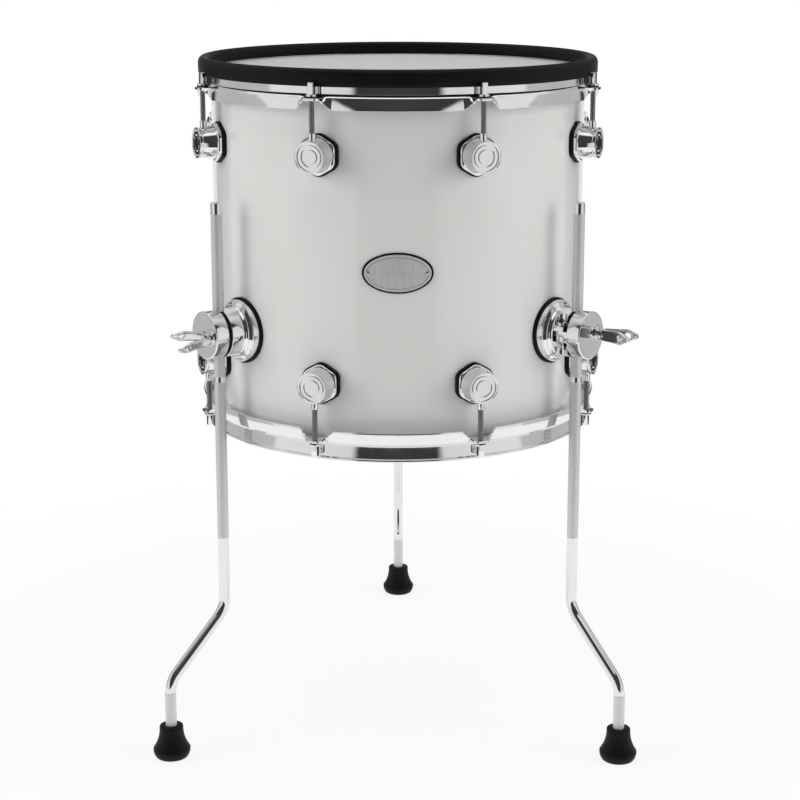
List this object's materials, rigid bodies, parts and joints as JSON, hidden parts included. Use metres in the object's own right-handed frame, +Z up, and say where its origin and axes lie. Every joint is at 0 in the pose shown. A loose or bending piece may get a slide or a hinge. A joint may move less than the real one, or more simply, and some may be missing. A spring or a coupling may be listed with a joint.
{
  "type": "electronic floor tom",
  "caption": "Floor tom with a white shell, mesh head, rubber-covered steel hoop, round lugs and bent legs held in hinged wing-bolt clamps.",
  "frame": {"origin": "middle of the object's floor rectangle, on the floor; the drum's own axis is parallel to Z at x = 0.0031, y = -0.0470 m", "axes": "+Z up, -Y the front with the badge, +X to the right as seen from the front"},
  "size_m": [0.4536, 0.4759, 0.6426],
  "materials": {
    "shell_lacquer": "gloss off-white lacquer",
    "mesh_head": "fine woven polyester mesh",
    "resonant_film": "coated film",
    "aluminium": "mill finish",
    "chrome": "polished chrome plate",
    "leg_steel": "satin knurled rod with polished bands",
    "badge_metal": "brushed",
    "black_rubber": "matte",
    "black_nylon": "satin",
    "zinc_steel": "bright zinc",
    "foam": "closed-cell foam"
  },
  "bodies": {
    "drum": {"shell": "shell_lacquer", "batter_head": "mesh_head", "resonant_head": "resonant_film", "batter_flesh_hoop": "aluminium", "resonant_flesh_hoop": "aluminium", "batter_hoop": "chrome", "resonant_hoop": "chrome", "batter_lugs": "chrome", "resonant_lugs": "chrome", "swivel_nuts": "chrome", "hinge_pins": "chrome", "hoop_cover": "black_rubber", "lug_gaskets": "black_rubber", "bracket_gaskets": "black_rubber", "clamp_pads": "black_rubber", "badge_gasket": "black_rubber", "lug_screws": "zinc_steel", "bracket_screws": "zinc_steel", "trigger_bar": "zinc_steel", "sensor_plate": "zinc_steel", "jack_screws": "zinc_steel", "badge_screws": "zinc_steel", "rod_washers": "black_nylon", "jack_plate": "black_nylon", "badge_plate": "badge_metal", "jack_socket": "chrome", "trigger_cone": "foam", "left_bracket": "chrome", "right_bracket": "chrome", "rear_bracket": "chrome"},
    "batter_rod_1": {"batter_rod_1": "chrome"},
    "batter_rod_2": {"batter_rod_2": "chrome"},
    "batter_rod_3": {"batter_rod_3": "chrome"},
    "batter_rod_4": {"batter_rod_4": "chrome"},
    "batter_rod_5": {"batter_rod_5": "chrome"},
    "batter_rod_6": {"batter_rod_6": "chrome"},
    "batter_rod_7": {"batter_rod_7": "chrome"},
    "batter_rod_8": {"batter_rod_8": "chrome"},
    "resonant_rod_1": {"resonant_rod_1": "chrome"},
    "resonant_rod_2": {"resonant_rod_2": "chrome"},
    "resonant_rod_3": {"resonant_rod_3": "chrome"},
    "resonant_rod_4": {"resonant_rod_4": "chrome"},
    "resonant_rod_5": {"resonant_rod_5": "chrome"},
    "resonant_rod_6": {"resonant_rod_6": "chrome"},
    "resonant_rod_7": {"resonant_rod_7": "chrome"},
    "resonant_rod_8": {"resonant_rod_8": "chrome"},
    "left_jaw": {"left_jaw": "chrome"},
    "left_wing_bolt": {"left_wing_bolt": "chrome"},
    "left_leg": {"left_leg": "leg_steel", "left_foot": "black_rubber"},
    "right_jaw": {"right_jaw": "chrome"},
    "right_wing_bolt": {"right_wing_bolt": "chrome"},
    "right_leg": {"right_leg": "leg_steel", "right_foot": "black_rubber"},
    "rear_jaw": {"rear_jaw": "chrome"},
    "rear_wing_bolt": {"rear_wing_bolt": "chrome"},
    "rear_leg": {"rear_leg": "leg_steel", "rear_foot": "black_rubber"}
  },
  "joints": [
    {"name": "batter_rod_1_turn", "type": "hinge", "parent": "drum", "child": "batter_rod_1", "pos_m": [0.07719, -0.22582, 0.618], "axis": [0, 0, 1], "range_deg": [-180, 180]},
    {"name": "resonant_rod_1_turn", "type": "hinge", "parent": "drum", "child": "resonant_rod_1", "pos_m": [0.07719, -0.22582, 0.3108], "axis": [0, 0, 1], "range_deg": [-180, 180]},
    {"name": "batter_rod_2_turn", "type": "hinge", "parent": "drum", "child": "batter_rod_2", "pos_m": [0.18197, -0.12104, 0.618], "axis": [0, 0, 1], "range_deg": [-180, 180]},
    {"name": "resonant_rod_2_turn", "type": "hinge", "parent": "drum", "child": "resonant_rod_2", "pos_m": [0.18197, -0.12104, 0.3108], "axis": [0, 0, 1], "range_deg": [-180, 180]},
    {"name": "batter_rod_3_turn", "type": "hinge", "parent": "drum", "child": "batter_rod_3", "pos_m": [0.18197, 0.02713, 0.618], "axis": [0, 0, 1], "range_deg": [-180, 180]},
    {"name": "resonant_rod_3_turn", "type": "hinge", "parent": "drum", "child": "resonant_rod_3", "pos_m": [0.18197, 0.02713, 0.3108], "axis": [0, 0, 1], "range_deg": [-180, 180]},
    {"name": "batter_rod_4_turn", "type": "hinge", "parent": "drum", "child": "batter_rod_4", "pos_m": [0.07719, 0.13191, 0.618], "axis": [0, 0, 1], "range_deg": [-180, 180]},
    {"name": "resonant_rod_4_turn", "type": "hinge", "parent": "drum", "child": "resonant_rod_4", "pos_m": [0.07719, 0.13191, 0.3108], "axis": [0, 0, 1], "range_deg": [-180, 180]},
    {"name": "batter_rod_5_turn", "type": "hinge", "parent": "drum", "child": "batter_rod_5", "pos_m": [-0.07098, 0.13191, 0.618], "axis": [0, 0, 1], "range_deg": [-180, 180]},
    {"name": "resonant_rod_5_turn", "type": "hinge", "parent": "drum", "child": "resonant_rod_5", "pos_m": [-0.07098, 0.13191, 0.3108], "axis": [0, 0, 1], "range_deg": [-180, 180]},
    {"name": "batter_rod_6_turn", "type": "hinge", "parent": "drum", "child": "batter_rod_6", "pos_m": [-0.17576, 0.02713, 0.618], "axis": [0, 0, 1], "range_deg": [-180, 180]},
    {"name": "resonant_rod_6_turn", "type": "hinge", "parent": "drum", "child": "resonant_rod_6", "pos_m": [-0.17576, 0.02713, 0.3108], "axis": [0, 0, 1], "range_deg": [-180, 180]},
    {"name": "batter_rod_7_turn", "type": "hinge", "parent": "drum", "child": "batter_rod_7", "pos_m": [-0.17576, -0.12104, 0.618], "axis": [0, 0, 1], "range_deg": [-180, 180]},
    {"name": "resonant_rod_7_turn", "type": "hinge", "parent": "drum", "child": "resonant_rod_7", "pos_m": [-0.17576, -0.12104, 0.3108], "axis": [0, 0, 1], "range_deg": [-180, 180]},
    {"name": "batter_rod_8_turn", "type": "hinge", "parent": "drum", "child": "batter_rod_8", "pos_m": [-0.07098, -0.22582, 0.618], "axis": [0, 0, 1], "range_deg": [-180, 180]},
    {"name": "resonant_rod_8_turn", "type": "hinge", "parent": "drum", "child": "resonant_rod_8", "pos_m": [-0.07098, -0.22582, 0.3108], "axis": [0, 0, 1], "range_deg": [-180, 180]},
    {"name": "left_leg_slide", "type": "slide", "parent": "drum", "child": "left_leg", "axis": [0, 0, 1], "range_m": [-0.085, 0.12]},
    {"name": "left_jaw_swing", "type": "hinge", "parent": "drum", "child": "left_jaw", "pos_m": [-0.16547, -0.15117, 0.3974], "axis": [0, 0, -1], "range_deg": [0, 4]},
    {"name": "left_wing_bolt_turn", "type": "hinge", "parent": "left_jaw", "child": "left_wing_bolt", "pos_m": [-0.16596, -0.18699, 0.3974], "axis": [-0.8039, -0.5948, 0], "range_deg": [0, 270]},
    {"name": "right_leg_slide", "type": "slide", "parent": "drum", "child": "right_leg", "axis": [0, 0, 1], "range_m": [-0.085, 0.12]},
    {"name": "right_jaw_swing", "type": "hinge", "parent": "drum", "child": "right_jaw", "pos_m": [0.15205, -0.1777, 0.3974], "axis": [0, 0, -1], "range_deg": [0, 4]},
    {"name": "right_wing_bolt_turn", "type": "hinge", "parent": "right_jaw", "child": "right_wing_bolt", "pos_m": [0.18645, -0.1677, 0.3974], "axis": [0.8039, -0.5948, 0], "range_deg": [0, 270]},
    {"name": "rear_leg_slide", "type": "slide", "parent": "drum", "child": "rear_leg", "axis": [0, 0, 1], "range_m": [-0.085, 0.12]},
    {"name": "rear_jaw_swing", "type": "hinge", "parent": "drum", "child": "rear_jaw", "pos_m": [0.01961, 0.15054, 0.3974], "axis": [0, 0, -1], "range_deg": [0, 4]},
    {"name": "rear_wing_bolt_turn", "type": "hinge", "parent": "rear_jaw", "child": "rear_wing_bolt", "pos_m": [-0.0089, 0.17224, 0.3974], "axis": [0, 1, 0], "range_deg": [0, 270]}
  ]
}
